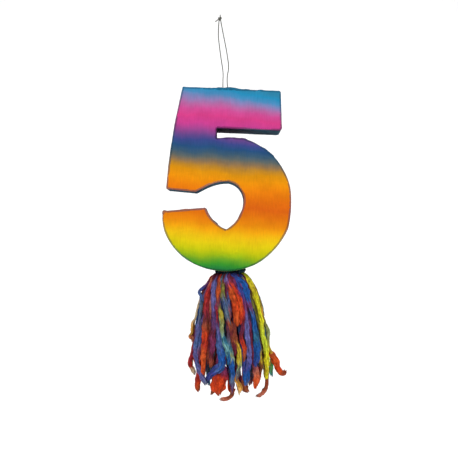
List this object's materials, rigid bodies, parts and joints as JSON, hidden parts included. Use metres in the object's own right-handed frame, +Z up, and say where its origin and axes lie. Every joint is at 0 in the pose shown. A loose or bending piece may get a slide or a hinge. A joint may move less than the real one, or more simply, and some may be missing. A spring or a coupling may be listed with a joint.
{
  "type": "pinata",
  "caption": "Hollow number-five pinata of board and paper, hung by a string loop, with a filling flap in its back and a streamer tassel tied under its bowl.",
  "frame": {"origin": "seat of the hook, inside the top of the hanging loop, just under its knot", "axes": "+Z up, +X to the right of the figure as it is read, the front faces -Y"},
  "size_m": [0.3507, 0.1834, 1.078],
  "materials": {
    "rainbow_paper": "matte",
    "edge_crepe": "matte",
    "panel_board": "matte",
    "wall_board": "matte",
    "dowel_wood": "matte",
    "string_twine": "matte",
    "tassel_twine": "matte",
    "tassel_core_paper": "matte",
    "streamer_crepe": "matte"
  },
  "bodies": {
    "hang_loop": {"cord_left": "string_twine", "cord_right": "string_twine", "loop_knot": "string_twine"},
    "shell": {"front_panel": "panel_board", "back_panel": "panel_board", "top_wall": "wall_board", "flag_end_wall": "wall_board", "flag_under_wall": "wall_board", "notch_wall": "wall_board", "bowl_wall_upper": "wall_board", "bowl_wall_lower": "wall_board", "bowl_wall_tail": "wall_board", "tail_wall": "wall_board", "counter_wall_lower": "wall_board", "counter_wall_upper": "wall_board", "stem_foot_wall": "wall_board", "stem_wall": "wall_board", "side_paper_stem": "edge_crepe", "side_paper_top": "edge_crepe", "side_paper_flag": "edge_crepe", "side_paper_bowl": "edge_crepe", "side_paper_counter": "edge_crepe", "front_paper": "rainbow_paper", "back_paper": "rainbow_paper", "hanger_plate": "panel_board", "hanger_dowel": "dowel_wood", "hanger_cord": "string_twine", "tassel_plate": "panel_board", "tassel_toggle": "dowel_wood", "toggle_cord": "tassel_twine"},
    "flap": {"fill_flap": "panel_board", "flap_paper": "rainbow_paper"},
    "tie": {"tassel_tie": "tassel_twine"},
    "tassel": {"tassel_head": "tassel_core_paper", "tassel_binding": "tassel_twine", "streamer_core": "streamer_crepe"},
    "streamer_right": {"streamer_right": "streamer_crepe"},
    "streamer_back_right": {"streamer_back_right": "streamer_crepe"},
    "streamer_back": {"streamer_back": "streamer_crepe"},
    "streamer_back_left": {"streamer_back_left": "streamer_crepe"},
    "streamer_left": {"streamer_left": "streamer_crepe"},
    "streamer_front_left": {"streamer_front_left": "streamer_crepe"},
    "streamer_front": {"streamer_front": "streamer_crepe"},
    "streamer_front_right": {"streamer_front_right": "streamer_crepe"}
  },
  "joints": [
    {"name": "figure_swing", "type": "hinge", "parent": "hang_loop", "child": "shell", "pos_m": [0.01625, 0, -0.19581], "axis": [0.9991, 0, -0.043], "range_deg": [-80, 80]},
    {"name": "flap_hinge", "type": "hinge", "parent": "shell", "child": "flap", "pos_m": [-0.0406, 0.045, -0.229], "axis": [1, 0, 0], "range_deg": [0, 120]},
    {"name": "tassel_side_swing", "type": "hinge", "parent": "shell", "child": "tie", "pos_m": [0.0294, 0, -0.6959], "axis": [0, 1, 0], "range_deg": [-15, 15]},
    {"name": "tassel_front_swing", "type": "hinge", "parent": "tie", "child": "tassel", "pos_m": [0.0294, 0, -0.704], "axis": [1, 0, 0], "range_deg": [-12, 12]},
    {"name": "streamer_right_lift", "type": "hinge", "parent": "tassel", "child": "streamer_right", "pos_m": [0.0594, 0, -0.714], "axis": [0, -1, 0], "range_deg": [0, 30]},
    {"name": "streamer_back_right_lift", "type": "hinge", "parent": "tassel", "child": "streamer_back_right", "pos_m": [0.05061, 0.01655, -0.714], "axis": [0.7885, -0.615, 0], "range_deg": [0, 30]},
    {"name": "streamer_back_lift", "type": "hinge", "parent": "tassel", "child": "streamer_back", "pos_m": [0.0294, 0.0234, -0.714], "axis": [1, 0, 0], "range_deg": [0, 30]},
    {"name": "streamer_back_left_lift", "type": "hinge", "parent": "tassel", "child": "streamer_back_left", "pos_m": [0.00819, 0.01655, -0.714], "axis": [0.7885, 0.615, 0], "range_deg": [0, 30]},
    {"name": "streamer_left_lift", "type": "hinge", "parent": "tassel", "child": "streamer_left", "pos_m": [-0.0006, 0, -0.714], "axis": [0, 1, 0], "range_deg": [0, 30]},
    {"name": "streamer_front_left_lift", "type": "hinge", "parent": "tassel", "child": "streamer_front_left", "pos_m": [0.00819, -0.01655, -0.714], "axis": [-0.7885, 0.615, 0], "range_deg": [0, 30]},
    {"name": "streamer_front_lift", "type": "hinge", "parent": "tassel", "child": "streamer_front", "pos_m": [0.0294, -0.0234, -0.714], "axis": [-1, 0, 0], "range_deg": [0, 30]},
    {"name": "streamer_front_right_lift", "type": "hinge", "parent": "tassel", "child": "streamer_front_right", "pos_m": [0.05061, -0.01655, -0.714], "axis": [-0.7885, -0.615, 0], "range_deg": [0, 30]}
  ]
}
